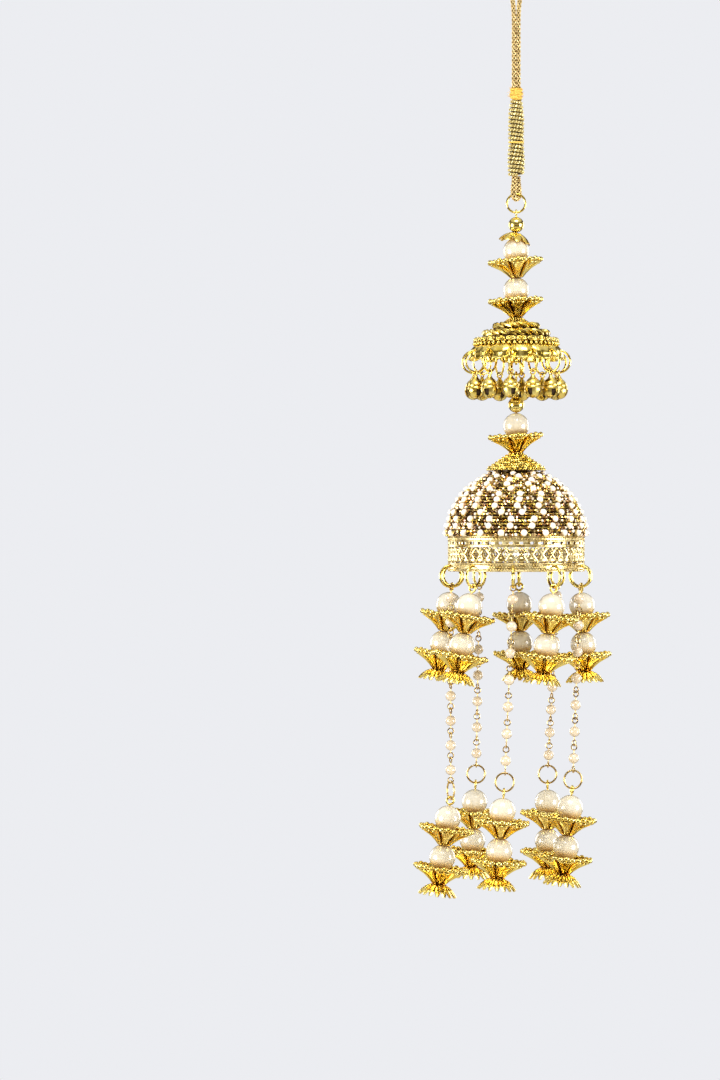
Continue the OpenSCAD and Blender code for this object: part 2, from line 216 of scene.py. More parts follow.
def plait(line, step, across, reach, lay):
    """The centre lines of the eight yarns of a round plait along an even line."""
    over_under = 0.16
    yarns = []
    for j in range(8):
        way = 1 if j % 2 else -1
        yarn = []
        for n, at in enumerate(line):
            along = (line[min(n + 1, len(line) - 1)] - line[max(n - 1, 0)]).normalized()
            out = along.cross(across)
            turns = n * step / lay
            a = 2 * math.pi * (way * turns + (j // 2) / 4)
            r = reach * (1 + over_under * way * math.cos(8 * math.pi * turns))
            yarn.append(at + r * (math.cos(a) * out + math.sin(a) * across))
        yarns.append(yarn)
    return yarns


def plaited(line, step, reach, lay, yarn, core, place=Matrix()):
    """The parts of a plaited cord: eight yarns, and a near-black core as painted shade between
    them.
    """
    return [
        (wires(plait(line, step, ACROSS_LOOP, reach, lay), yarn), place, 0),
        (wires([line], core), place, 1),
    ]


def piece(name, parts, *materials, sharp=40):
    """One piece from made shapes. Parts hold a shape, its place and the number of its material."""
    bm = bmesh.new()
    for shape, place, number in parts:
        copy = shape.copy()
        copy.transform(place)
        copy.polygons.foreach_set("material_index", [number] * len(copy.polygons))
        bm.from_mesh(copy)
        bpy.data.meshes.remove(copy)
    bmesh.ops.scale(bm, vec=(MM, MM, MM), verts=bm.verts)
    mesh = bpy.data.meshes.new(name)
    bm.to_mesh(mesh)
    bm.free()
    for material in materials:
        mesh.materials.append(material)
    mesh.shade_smooth()
    mesh.set_sharp_from_angle(angle=math.radians(sharp))
    made = bpy.data.objects.new(name, mesh)
    scene.collection.objects.link(made)
    return made


def new_finish(name):
    """A fresh material, its shader and its object coordinates."""
    material = bpy.data.materials.new(name)
    material.use_nodes = True
    nodes = material.node_tree.nodes
    where = nodes.new("ShaderNodeTexCoord").outputs["Object"]
    return material, nodes["Principled BSDF"], where


def cloud(material, where, scale, detail):
    """A cloudy pattern, its scale in clouds a metre."""
    noise = material.node_tree.nodes.new("ShaderNodeTexNoise")
    noise.inputs["Scale"].default_value = scale
    noise.inputs["Detail"].default_value = detail
    material.node_tree.links.new(where, noise.inputs["Vector"])
    return noise.outputs["Fac"]


def shaded(material, pattern, *stops):
    """The colours of the stops, laid over a pattern."""
    ramp = colour_steps(material.node_tree.nodes, stops)
    material.node_tree.links.new(pattern, ramp.inputs[0])
    return ramp.outputs[0]


def paint_crevice_shade(material, colour, reach, half, deep):
    """Takes a colour to the shader, with painted shade where the piece is closed in close by."""
    nodes, links = material.node_tree.nodes, material.node_tree.links
    closed_in = nodes.new("ShaderNodeAmbientOcclusion")
    closed_in.samples = 6
    closed_in.inputs["Distance"].default_value = reach
    # painted shade: brown to near-black where the occlusion finds the piece closed in
    occlusion_shade = shaded(
        material, closed_in.outputs["AO"], (0.15, *deep), (0.72, 1, 1, 1), (0.42, *half)
    )
    layered = nodes.new("ShaderNodeMix")
    layered.data_type = "RGBA"
    layered.blend_type = "MULTIPLY"
    layered.inputs[0].default_value = 1
    links.new(colour, layered.inputs[6])
    links.new(occlusion_shade, layered.inputs[7])
    links.new(layered.outputs[2], nodes["Principled BSDF"].inputs["Base Color"])


def roughen(material, pattern, strength, height):
    """Presses a pattern into the surface, its height in metres."""
    nodes, links = material.node_tree.nodes, material.node_tree.links
    bump = nodes.new("ShaderNodeBump")
    bump.inputs["Strength"].default_value = strength
    bump.inputs["Distance"].default_value = height
    links.new(pattern, bump.inputs["Height"])
    links.new(bump.outputs[0], nodes["Principled BSDF"].inputs["Normal"])


def yarn_finish(name, bright, deep, metal, rough, fibre):
    """Thread wound with thin metal foil, or plain fluffy thread where metal is low."""
    material, shader, where = new_finish(name)
    fibres = cloud(material, where, fibre, 4)
    colour = shaded(material, fibres, (0.34, *deep), (0.62, *bright))
    # painted shade: darker where the yarns close in on each other
    paint_crevice_shade(material, colour, 0.0006, (0.45, 0.32, 0.16), (0.12, 0.08, 0.03))
    roughen(material, fibres, 0.6, 0.00008)
    shader.inputs["Metallic"].default_value = metal
    shader.inputs["Roughness"].default_value = rough
    return material


foil_yarn = yarn_finish("foil_yarn", (0.90, 0.75, 0.38), (0.58, 0.36, 0.10), 0.5, 0.34, 3200)
# near-black core: painted shade in the gaps of the plaits and between the sleeve's rows
core_shade = yarn_finish("core_shade", (0.055, 0.03, 0.005), (0.02, 0.01, 0.002), 0.0, 0.9, 3000)
loop_step = 0.28
loop_points = [Vector((x, 0, z)) for x, z in both_halves(loop_route)]
loop_line = even_line(loop_points, loop_step)
cord_loop = piece(
    "plaited_cord_loop",
    plaited(loop_line, loop_step, reach=0.56, lay=5.6, yarn=0.3, core=0.92),
    foil_yarn, core_shade,
)
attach(cord_loop, "root")
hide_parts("cord_loop")


# Sleeve: gold cord wound round both legs in about nineteen close rows. It is twisted from two
# plies of foil thread, a pale and a dull one. A fluffy yellow yarn is tied in a knot round its
# neck and goes once round its waist.
sleeve_outline = [
    (1.7, -41.0), (2.2, -43.5), (2.55, -47.5), (2.5, -53.8), (2.35, -54.9), (2.5, -56),
    (2.8, -60.5), (2.6, -64), (2.4, -65.4),
]


def sleeve_reach(z):
    """Radius of the sleeve at a height."""
    for (r0, z0), (r1, z1) in zip(sleeve_outline, sleeve_outline[1:]):
        if z1 <= z <= z0:
            return r0 + (r1 - r0) * (z0 - z) / (z0 - z1)
    return sleeve_outline[0][0] if z > sleeve_outline[0][1] else sleeve_outline[-1][0]


def spun(outline, steps, closed=True):
    """A bmesh: an outline of radius and height, spun round the upright axis."""
    bm = bmesh.new()
    corners = [bm.verts.new((r, 0, z)) for r, z in outline]
    ends = corners[1:] + (corners[:1] if closed else [])
    edges = [bm.edges.new(pair) for pair in zip(corners, ends)]
    bmesh.ops.spin(
        bm, geom=corners + edges, cent=(0, 0, 0), axis=(0, 0, 1), angle=2 * math.pi,
        steps=steps, use_merge=True,
    )
    return bm


def turned(outline, steps=32):
    """A made shape: a closed outline turned round the upright axis."""
    bm = spun(outline, steps)
    bmesh.ops.remove_doubles(bm, verts=bm.verts, dist=0.0005)
    bmesh.ops.recalc_face_normals(bm, faces=bm.faces)
    return shape_of(bm)


def shape_of(bm):
    """The bmesh as a made shape."""
    shape = bpy.data.meshes.new("shape")
    bm.to_mesh(shape)
    bm.free()
    return shape


row_pitch = 1.25
winding_top, winding_bottom = -41.5, -65.0
rows = (winding_top - winding_bottom) / row_pitch
steps_a_row, twists_a_row = 96, 14.3
ply_depth, ply_swing_out, ply_swing_up, uneven = 0.49, 0.25, 0.28, 0.05
plies = []
for k in range(2):
    ply = []
    for n in range(int(rows * steps_a_row)):
        turn = n / steps_a_row
        z = winding_top - turn * row_pitch
        a = 2 * math.pi * turn
        twist = 2 * math.pi * (turn * twists_a_row + k / 2)
        r = (
            sleeve_reach(z) - ply_depth + ply_swing_out * math.cos(twist)
            + uneven * math.sin(3 * a + z)
        )
        ply.append((r * math.cos(a), r * math.sin(a), z + ply_swing_up * math.sin(twist)))
    plies.append(ply)
# the knot's yarn goes round and round the neck, up and down, and never quite evenly
knot_z, knot_half, knot_wide = -39.6, 1.45, 0.95
yarn_steps = 40
tie = []
for n in range(300):
    a = 2 * math.pi * (n / yarn_steps)
    z = knot_z + knot_half * math.cos(0.29 * a)
    fat = knot_wide + 0.75 * math.sqrt(1 - ((z - knot_z) / 1.8) ** 2)
    tie.append((
        (fat + 0.12 * math.sin(1.7 * a)) * math.cos(a),
        (fat - 0.15 + 0.12 * math.cos(2.3 * a)) * math.sin(a),
        z + 0.35 * math.sin(a),
    ))
waist_r, waist_z, waist_climb = 2.22, -54.9, 0.12
waist = []
for n in range(100):
    a = 2 * math.pi * n / yarn_steps
    waist.append((
        waist_r * math.cos(a), waist_r * math.sin(a),
        waist_z + 0.18 * math.sin(a) + waist_climb * n / yarn_steps,
    ))
random.seed(7)
fluff = []
for n in range(150):
    a = random.uniform(0, 2 * math.pi)
    z = knot_z + random.uniform(-1.7, 1.6)
    side = Vector((math.cos(a), math.sin(a), 0))
    start = side * 1.5 + Vector((0, 0, z))
    bend = Vector((random.uniform(-1, 1), random.uniform(-1, 1), random.uniform(-0.6, 1))) * 0.5
    tip = start + side * random.choice((0.2, 0.4, 0.6, 1.0)) + bend
    fluff.append([start, start.lerp(tip, 0.55) + side * 0.12, tip])
# the sleeve's core is near-black, painted shade between the rows
core_outline = [(r - 0.75, z) for r, z in sleeve_outline[:-1]]
core = turned([(0, -41.2)] + core_outline + [(1.5, -64.5), (0, -65)])
wool = turned([
    (0, -37.8), (1.0, -37.9), (1.55, -38.6), (1.7, -39.6), (1.6, -40.8), (1.1, -41.6), (0, -41.7),
])
pale_foil = yarn_finish("pale_foil", (1.0, 0.93, 0.52), (0.70, 0.55, 0.17), 0.55, 0.32, 2600)
dull_foil = yarn_finish("dull_foil", (0.55, 0.42, 0.12), (0.28, 0.19, 0.045), 0.4, 0.42, 2600)
yellow_yarn = yarn_finish("yellow_yarn", (0.96, 0.66, 0.14), (0.72, 0.42, 0.05), 0.0, 0.75, 2200)
sleeve = piece(
    "wound_sleeve",
    [
        (wires(plies[:1], 0.56), Matrix(), 0), (wires(plies[1:], 0.46), Matrix(), 3),
        (core, Matrix(), 1),
        (wires([tie], 0.75), Matrix(), 2), (wires([waist], 0.42), Matrix(), 2),
        (wool, Matrix(), 2), (wires(fluff, 0.08, sides=4), Matrix(), 2),
    ],
    pale_foil, core_shade, yellow_yarn, dull_foil,
)
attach(sleeve, "root")
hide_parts("thread_wrap")


# Lower eye: the same plaited cord, a little thicker, comes out of the sleeve, goes through the
# jump ring and back up. It is seen half from the side.
eye_route = [
    (-0.95, -65.2), (-1.1, -67), (-1.5, -68.8), (-1.66, -70.4),
    (-1.45, -71.5), (-0.85, -72.05), (0, -72.25),
]
eye_turn = Matrix.Rotation(math.radians(57), 4, "Z")
eye_step = 0.25
eye_line = even_line([Vector((x, 0, z)) for x, z in both_halves(eye_route)], eye_step)
cord_eye = piece(
    "plaited_cord_eye",
    plaited(eye_line, eye_step, reach=0.67, lay=5.2, yarn=0.37, core=1.25, place=eye_turn),
    foil_yarn, core_shade,
)
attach(cord_eye, "root")
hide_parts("cord_eye")


# Jump ring at the top: round brass wire bent to a ring and gilt, with its joint pinched shut.
# It hangs in the cord's eye.
def ring_of(reach, wire, steps=44, sides=10, joint=3.0):
    """A made shape: a ring of round wire lying flat, with a fine joint of so many degrees."""
    bm = bmesh.new()
    section = bmesh.ops.create_circle(bm, segments=sides, radius=wire / 2)["verts"]
    bmesh.ops.rotate(bm, verts=section, matrix=Matrix.Rotation(math.radians(90), 3, "X"))
    bmesh.ops.translate(bm, verts=section, vec=(reach, 0, 0))
    bmesh.ops.spin(
        bm, geom=bm.verts[:] + bm.edges[:], cent=(0, 0, 0), axis=(0, 0, 1),
        angle=math.radians(360 - joint), steps=steps, use_merge=joint == 0,
    )
    bmesh.ops.holes_fill(bm, edges=[e for e in bm.edges if e.is_boundary], sides=0)
    bmesh.ops.recalc_face_normals(bm, faces=bm.faces)
    return shape_of(bm)


def spin_about(axis, degrees):
    return Matrix.Rotation(math.radians(degrees), 4, axis)


def move(x, y, z):
    return Matrix.Translation((x, y, z))


def stretch(x, y, z):
    return Matrix.Diagonal((x, y, z, 1))


FACE_Y = spin_about("X", 90)
FACE_X = spin_about("Y", 90)


def gold_finish(name, bright, deep, rough, dents, reach=0.0007):
    """Gilt brass: a mirror finish with faint wear in its colour and gloss, and tiny dents."""
    material, shader, where = new_finish(name)
    wear = cloud(material, where, 420, 3)
    colour = shaded(material, wear, (0.35, *deep), (0.65, *bright))
    # painted shade: brown and near-black in the crevices, from the occlusion within the reach
    paint_crevice_shade(material, colour, reach, (0.60, 0.42, 0.16), (0.06, 0.028, 0.006))
    gloss = material.node_tree.nodes.new("ShaderNodeMapRange")
    gloss.inputs["From Min"].default_value = 0.3
    gloss.inputs["From Max"].default_value = 0.7
    gloss.inputs["To Min"].default_value = rough * 0.6
    gloss.inputs["To Max"].default_value = rough * 1.5
    material.node_tree.links.new(wear, gloss.inputs["Value"])
    material.node_tree.links.new(gloss.outputs[0], shader.inputs["Roughness"])
    roughen(material, cloud(material, where, 1500, 2), dents, 0.0001)
    shader.inputs["Metallic"].default_value = 1
    shader.inputs["Coat Weight"].default_value = 0.5
    shader.inputs["Coat Roughness"].default_value = 0.12
    return material


bright_gold = gold_finish("bright_gold", (1.0, 0.84, 0.29), (0.95, 0.69, 0.11), 0.17, 0.08)
top_ring = piece(
    "jump_ring_top",
    [(ring_of(2.85, 0.7), move(0, 0, -73.65) @ FACE_Y @ spin_about("Z", 205), 0)],
    bright_gold,
)
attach(top_ring, "ring")
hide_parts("top_ring")


# Upper eye pin: one gilt wire through all the beads of the upper tier, with an eye bent at
# either end. The pins of the lower tier and of the drops are bent the same way.
def eye(reach, wire):
    """A made shape: the bent eye of a pin, lying flat."""
    return ring_of(reach, wire, steps=28, sides=10, joint=5)


def stem(radius, top, bottom):
    """A made shape: a straight wire between two heights."""
    return turned([(0, top), (radius, top), (radius, bottom), (0, bottom)], steps=12)


top_pin = piece(
    "eye_pin_top",
    [
        (eye(0.875, 0.55), move(0, 0, -76.65) @ FACE_X, 0),
        (stem(0.3, -77.5, -121.2), Matrix(), 0),
        (eye(1.15, 0.7), move(0, 0, -122.3) @ FACE_X @ spin_about("Z", 180), 0),
    ],
    bright_gold,
)
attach(top_pin, "upper")
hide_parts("top_pin")


# Gold bead: a hollow ball of thin gilt brass, 4.8 mm wide. It is threaded on the pin above the
# star cap.
def ball(size, hole, rings=18, steps=32):
    """A made shape: a ball drilled from top to bottom."""
    r = size / 2
    end = math.asin(hole / r)
    outline = []
    for n in range(rings + 1):
        a = end + (math.pi - 2 * end) * n / rings
        outline.append((r * math.sin(a), r * math.cos(a)))
    return turned(outline, steps)


gold_bead = piece("gold_bead_upper", [(ball(4.8, 0.42), move(0, 0, -80.3), 0)], bright_gold)
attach(gold_bead, "upper")
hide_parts("gold_bead_top")


# Star cap: a small gilt bead cap of eight bent petals, cast with grains all over. It sits on the
# pin, tipped a little to the right.
def sheet(columns, rows, shape, thickness):
    """A made shape: thin sheet metal, bent by shape(across from -1 to 1, along from 0 to 1)."""
    bm = bmesh.new()
    bmesh.ops.create_grid(bm, x_segments=columns, y_segments=rows, size=1)
    for corner in bm.verts:
        corner.co = shape(corner.co.x, (corner.co.y + 1) / 2)
    bmesh.ops.recalc_face_normals(bm, faces=bm.faces)
    bmesh.ops.solidify(bm, geom=bm.faces[:], thickness=thickness)
    bmesh.ops.recalc_face_normals(bm, faces=bm.faces)
    return shape_of(bm)


def between(table, t):
    """Values from a table of rows that start with t, with straight steps between them."""
    for low, high in zip(table, table[1:]):
        if t <= high[0]:
            part = (t - low[0]) / (high[0] - low[0])
            return [a + (b - a) * part for a, b in zip(low[1:], high[1:])]
    return list(table[-1][1:])


def polar(r, degrees, z):
    """A point at a distance from the axis; 0 degrees is the front and 90 the right."""
    a = math.radians(degrees)
    return Vector((r * math.sin(a), -r * math.cos(a), z))


def grain_of(radius, columns=7, rows=5):
    """A made shape: one small ball, plain where there are hundreds of them."""
    bm = bmesh.new()
    bmesh.ops.create_uvsphere(bm, u_segments=columns, v_segments=rows, radius=radius)
    return shape_of(bm)


def all_round(shapes, count, place=Matrix(), start=0.0):
    """The same shapes again and again round the axis."""
    return [
        (shape, place @ spin_about("Z", start + 360 / count * n) @ at, number)
        for n in range(count) for shape, at, number in shapes
    ]


star_rows = [
    # along, distance, height, half width in degrees
    (0.0, 1.5, -0.3, 22), (0.3, 2.6, -0.8, 22), (0.6, 3.6, -1.5, 18), (0.85, 4.3, -2.25, 11),
    (1.0, 4.75, -2.9, 3),
]


def star_petal(s, t):
    """One petal of the star, bent down at its sides and its tip."""
    r, z, half = between(star_rows, t)
    return polar(r, half * s, z - 0.35 * s * s * (1 - t * 0.5))


grain_small = grain_of(0.26)
grain_lift = Vector((0, 0, 0.1))
star_grains = [
    (grain_small, Matrix.Translation(star_petal(s, t) + grain_lift), 0)
    for s, t in [
        (0, 0.15), (-0.6, 0.25), (0.6, 0.25), (0, 0.38), (-0.7, 0.5), (0.7, 0.5), (0, 0.6),
        (-0.7, 0.74), (0.7, 0.74), (0, 0.85), (0, 1),
    ]
]
star_hub = turned([(0.42, 0), (1.1, 0), (2.0, -0.6), (2.5, -1.1), (2.4, -1.4), (0.42, -0.8)])
star_place = move(0, 0, -82.85) @ spin_about("Y", 11) @ spin_about("Z", 10)
star = [(sheet(6, 7, star_petal, 0.3), Matrix(), 0)] + star_grains
star_cap = piece(
    "star_bead_cap",
    all_round(star, 8, star_place)
    + [(star_hub, star_place, 0)]
    + all_round([(grain_small, move(0, -1.35, -0.15), 0)], 11, star_place),
    bright_gold, sharp=60,
)
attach(star_cap, "upper")
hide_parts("star_cap")


# Pearls: plastic pearls of 8 mm with a cream coat that has a soft depth and a hard clear gloss.
# They are strung one above each cup.
def pearl_finish(name, bright, deep, rough):
    """Pearl coat: cream, faintly clouded, soft underneath and glossy on top."""
    material, shader, where = new_finish(name)
    colour = shaded(material, cloud(material, where, 260, 2), (0.3, *deep), (0.7, *bright))
    # painted reflection and shade: tan to brown near other parts, standing in for the gold's tint
    # and shadow
    paint_crevice_shade(material, colour, 0.006, (0.88, 0.70, 0.44), (0.62, 0.38, 0.16))
    roughen(material, cloud(material, where, 900, 2), 0.04, 0.0001)
    shader.inputs["Roughness"].default_value = rough
    shader.inputs["Specular IOR Level"].default_value = 0.9
    shader.inputs["Coat Weight"].default_value = 1
    shader.inputs["Coat Roughness"].default_value = 0.13
    return material


pearl_coat = pearl_finish("pearl_coat", (0.76, 0.73, 0.64), (0.72, 0.675, 0.55), 0.22)
pearl = ball(8, 0.42, rings=22, steps=36)
for name, z, body in [
    ("pearl_top_1", -88.4, "upper"), ("pearl_top_2", -100.6, "upper"),
    ("pearl_mid", -142.65, "lower"),
]:
    strung = piece(name + "_coated", [(pearl, move(0, 0, z), 0)], pearl_coat)
    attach(strung, body)
    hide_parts(name)


# Lotus cups: stamped from thin sheet and gilt, with wire edges and deep grooves between the
# eight petals. Each petal has three lobes on its rim and two smaller ones under them. The pearl
# stands on a dish inside.
cup_petals = 8
half_petal = 180 / cup_petals
cup_rows = [
    # along, distance, height, half width in degrees
    (0.00, 1.75, 0.15, 22.5), (0.14, 2.95, 1.5, 22.4), (0.30, 4.5, 2.8, 22.3),
    (0.46, 6.1, 3.7, 22.4), (0.60, 7.3, 4.25, 22.4), (0.70, 7.9, 4.6, 22.3),
    (0.80, 8.0, 5.0, 22.0), (0.90, 7.95, 5.35, 21.6), (1.00, 7.75, 5.6, 21.0),
]


def cup_petal(s, t):
    """One petal of the cup's sheet, from its foot to its rim."""
    r, z, half = between(cup_rows, t)
    r2, z2, _ = between(cup_rows, min(t + 0.04, 1.0))
    r1, z1, _ = between(cup_rows, max(t - 0.04, 0.0))
    out, down = (z2 - z1), -(r2 - r1)
    length = math.hypot(out, down)
    edge = abs(s)
    rim = min(1.0, max(0.0, (t - 0.5) / 0.3))
    # a raised edge, a groove beside the next petal and a hollow middle, fading at foot and rim
    push = 0.36 * math.exp(-((edge - 0.62) / 0.1) ** 2) * (1 - rim)
    push -= 1.4 * max(0.0, (edge - 0.72) / 0.28) ** 1.2 * (1 - 0.9 * rim)
    push -= 0.26 * max(0.0, 1 - (s / 0.62) ** 2) * min(1.0, t * 4)
    push *= 1 - 0.3 * (1 - min(1.0, t * 5))
    bow = 0.3 * (1 - s * s) * t * t
    return polar(
        r + push * out / length + bow, half * s, z + push * down / length + 0.25 * bow
    )


cup_sheet = sheet(16, 14, cup_petal, 0.26)
cup_gold = gold_finish("cup_gold", (1.0, 0.84, 0.29), (0.95, 0.69, 0.11), 0.17, 0.08, 0.0016)
rim_lobe = grain_of(1, 8, 6)
cup_grains = []
for s, t, up, size in [
    # across and along the petal, how far above it, width, depth and height
    (-0.68, 0.84, -0.05, (1.0, 0.62, 0.7)), (0, 0.84, 0.25, (1.0, 0.62, 0.7)),
    (0.68, 0.84, -0.05, (1.0, 0.62, 0.7)), (-0.34, 0.6, -0.15, (0.95, 0.42, 0.36)),
    (0.34, 0.6, -0.15, (0.95, 0.42, 0.36)),
]:
    place = Matrix.Translation(cup_petal(s, t) + Vector((0, 0, up)))
    place = place @ spin_about("Z", half_petal * s)
    cup_grains.append((rim_lobe, place @ stretch(*size), 0))
cup_foot = turned([
    (0.6, 0.35), (1.3, 0.3), (1.35, 0.0), (1.9, 0.0), (2.05, 0.25), (1.8, 0.5), (2.7, 2.1),
    (3.9, 3.2), (4.45, 4.0), (4.75, 4.45), (4.6, 4.65), (4.2, 4.3), (0.42, 4.2), (0.42, 3.9),
    (3.6, 3.9), (2.5, 2.6), (1.4, 0.8), (0.6, 0.75),
])


def lotus_cup(place):
    """The parts of one cup, its lowest edge at the place."""
    petals = [(cup_sheet, Matrix(), 0)] + cup_grains
    return all_round(petals, cup_petals, place, start=4) + [(cup_foot, place, 0)]


cup_middle = 2.2
for name, z, tip, body in [
    # how far each leans on its pin, in degrees, its right side up
    ("cup_top_1", -96.75, 4.5, "upper"), ("cup_top_2", -108.95, 3, "upper"),
    ("cup_mid", -151.0, 3.5, "lower"),
]:
    place = move(0, 0, z + cup_middle) @ spin_about("Y", -tip) @ move(0, 0, -cup_middle)
    cup = piece(name + "_lotus", lotus_cup(place), cup_gold, sharp=60)
    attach(cup, body)
    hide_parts(name)


# Bell cone: soldered from gilt wire. Grains cover the top, three ropes of twisted strands and a
# row of oval loops go round it, and a skirt of twelve fluted petals holds the bell rings.
def rope(reach, z, strands, turns, coil, thickness, per_turn=14):
    """A made shape: strands twisted into a closed ring."""
    lines = []
    count = turns * per_turn
    for k in range(strands):
        line = []
        for n in range(count):
            a = 2 * math.pi * n / count
            b = -2 * math.pi * (turns * n / count + k / strands)
            r = reach + coil * math.cos(b)
            line.append((r * math.cos(a), r * math.sin(a), z + coil * math.sin(b)))
        lines.append(line)
    return wires(lines, thickness, closed=True)


deep_gold = gold_finish("deep_gold", (1.0, 0.84, 0.27), (0.96, 0.70, 0.10), 0.23, 0.08)
# near-black gilt: painted shade under the wirework, the dome's beads and the cap's rim, and the
# colour of the dark crystals
shade_and_dark_crystal = gold_finish("shade_and_dark_crystal", (0.14, 0.075, 0.018), (0.05, 0.025, 0.006), 0.45, 0.5)
# the cone under the grains and ropes is near-black, painted shade between them
cone_core = turned([
    (0.42, -108.5), (1.2, -108.7), (1.6, -109.15), (4.9, -110.9), (6.1, -111.9), (9.4, -114.3),
    (12.3, -116.7), (12.3, -117.6), (11.3, -117.2), (5.6, -112.8), (0.42, -110.6),
], steps=48)
cone = [(cone_core, Matrix(), 1)]
grain_cone = grain_of(0.36)
grain_gap = 0.66
for ring, r in enumerate((2.0, 2.65, 3.3, 3.95, 4.6)):
    count = round(2 * math.pi * r / grain_gap)
    cone += all_round(
        [(grain_cone, move(0, -r, -109.35 - 0.5 * ring), 0)], count, start=9 * ring
    )
cone.append((rope(6.3, -111.75, 3, 5, 0.62, 1.12), Matrix(), 0))
cone.append((rope(9.5, -114.0, 3, 8, 0.62, 1.12), Matrix(), 0))
cone.append((rope(12.1, -116.75, 2, 30, 0.42, 0.5, per_turn=10), Matrix(), 0))
oval = move(0, -12.85, -116.0) @ spin_about("X", 62)
oval_loop = [
    (ring_of(0.85, 0.5, steps=20, sides=8, joint=0), oval @ stretch(1.45, 0.75, 1), 0),
    (grain_of(0.62), oval @ stretch(1.5, 0.7, 0.75), 0),
]
cone += all_round(oval_loop, 24, start=5)
cone += all_round([(grain_of(0.52), move(0, -13.05, -117.3), 0)], 48, start=3)
skirt_rows = [
    # along, distance, height
    (0.0, 11.9, -117.1), (0.2, 12.6, -117.9), (0.45, 13.4, -119.1), (0.7, 13.9, -120.3),
    (0.86, 13.9, -121.2), (1.0, 14.2, -122.0),
]


def skirt_petal(s, t):
    """One fluted petal of the skirt, from the cone to its hem."""
    r, z = between(skirt_rows, t)
    edge = abs(s)
    # a full middle with two ridges, grooves beside the next petal and down its own middle
    push = 0.55 * (1 - s * s) + 0.3 * math.exp(-((edge - 0.42) / 0.11) ** 2)
    push -= 0.5 * max(0.0, (edge - 0.78) / 0.22) + 0.2 * math.exp(-(s / 0.16) ** 2)
    push += 0.35 * math.sin(math.pi * min(1.0, t / 0.86))
    scallop = (1.35 * s ** 4 - 0.1) * t * t
    return polar(r + push * (0.3 + 0.7 * t) - 0.25 * scallop, 15 * s, z + scallop)


hem = [skirt_petal(-1 + n / 8, 1.0) for n in range(17)]
skirt = [
    (sheet(18, 8, skirt_petal, 0.3), Matrix(), 0),
    (wires([hem], 0.5, sides=8), Matrix(), 0),
]
cone += all_round(skirt, 12, start=5)
bell_cone = piece("bell_cone_wirework", cone, deep_gold, shade_and_dark_crystal, sharp=55)
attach(bell_cone, "upper")
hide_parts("bell_cone")


# Bell rings: twelve gilt jump rings, bent from round wire. They pass through the valleys of the
# skirt, and one bell hangs on each.
bell_count, bell_turn, bell_out = 12, 20, 13.4
bell_ring = ring_of(3.4, 0.7, steps=40, joint=2.5)


def bell_spot(n, z):
    """Place of one bell or its ring, at a height."""
    return spin_about("Z", bell_turn + 360 / bell_count * n) @ move(0, -bell_out, z)


random.seed(11)
rings = []
for n in range(bell_count):
    joint_turn = spin_about("Z", random.uniform(150, 210))
    rings.append((bell_ring, bell_spot(n, -122.8) @ FACE_X @ joint_turn, 0))
bell_rings = piece("bell_jump_rings", rings, bright_gold)
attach(bell_rings, "upper")
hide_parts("bell_rings")


# Bells: small jingle bells, pressed from thin gilt sheet, a near-black ball inside as painted
# shade.
# Each has a collar where neck and body meet, four slits below and a soldered wire eye on top.
def slit_bell():
    """A made shape: a bell's shell with its slits cut out, its middle at the origin."""
    outline = [
        (0.0, 4.6), (0.45, 4.55), (0.62, 4.1), (1.0, 3.55), (1.6, 3.05), (2.1, 2.4),
        (2.35, 1.8), (2.42, 1.45), (2.3, 1.3), (2.55, 0.9), (2.7, 0.3), (2.7, -0.1), (2.6, -0.6),
        (2.4, -1.15), (2.05, -1.7), (1.6, -2.15), (1.05, -2.45), (0.45, -2.65), (0.0, -2.7),
    ]
    columns = 32
    bm = spun(outline, columns, closed=False)
    bmesh.ops.rotate(bm, verts=bm.verts, matrix=Matrix.Rotation(math.pi / columns, 3, "Z"))
    bmesh.ops.remove_doubles(bm, verts=bm.verts, dist=0.0005)
    slit_top, slit_low = 0.4, -2.62
    cut = []
    for face in bm.faces:
        at = face.calc_center_median()
        half_slit = 0.62 if at.z > -1.2 else 0.45 if at.z > -1.9 else 0.2
        if min(abs(at.x), abs(at.y)) < half_slit and slit_top > at.z > slit_low:
            cut.append(face)
    bmesh.ops.delete(bm, geom=cut, context="FACES")
    bmesh.ops.recalc_face_normals(bm, faces=bm.faces)
    bmesh.ops.solidify(bm, geom=bm.faces[:], thickness=0.3)
    bmesh.ops.recalc_face_normals(bm, faces=bm.faces)
    return shape_of(bm)


bell_gold = gold_finish("bell_gold", (1.0, 0.84, 0.29), (0.97, 0.70, 0.12), 0.3, 0.08, 0.004)
bell_shade = yarn_finish("bell_inside_shade", (0.04, 0.02, 0.006), (0.015, 0.008, 0.003), 0, 0.9, 3000)
bell = slit_bell()
# a near-black ball inside each bell, painted shade seen through the slits
inside = ball(4.5, 0.1, rings=10, steps=20)
collar = ring_of(2.38, 0.3, steps=32, sides=6, joint=0)
bell_eye = eye(0.85, 0.5)
slit_turns = (-24, 20, -20, 32, 18)
hung = []
for n in range(bell_count):
    from_front = slit_turns[n % len(slit_turns)]
    swing = spin_about("Z", from_front - bell_turn - 360 / bell_count * n)
    hung.append((bell, bell_spot(n, -131.8) @ swing, 0))
    hung.append((inside, bell_spot(n, -131.75), 1))
    hung.append((collar, bell_spot(n, -130.35), 0))
    hung.append((bell_eye, bell_spot(n, -126.35) @ FACE_Y @ spin_about("Z", 90), 0))
bells = piece("slit_bells", hung, bell_gold, bell_shade, sharp=50)
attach(bells, "upper")
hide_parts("bells")


# Middle link: a gilt jump ring of round wire, pinched shut. It joins the eyes of the upper and
# the lower pin.
mid_link = piece(
    "jump_ring_middle",
    [(ring_of(2.1, 0.75, joint=4), move(0, 0, -124.725) @ FACE_Y @ spin_about("Z", 160), 0)],
    bright_gold,
)
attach(mid_link, "link")
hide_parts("mid_link")


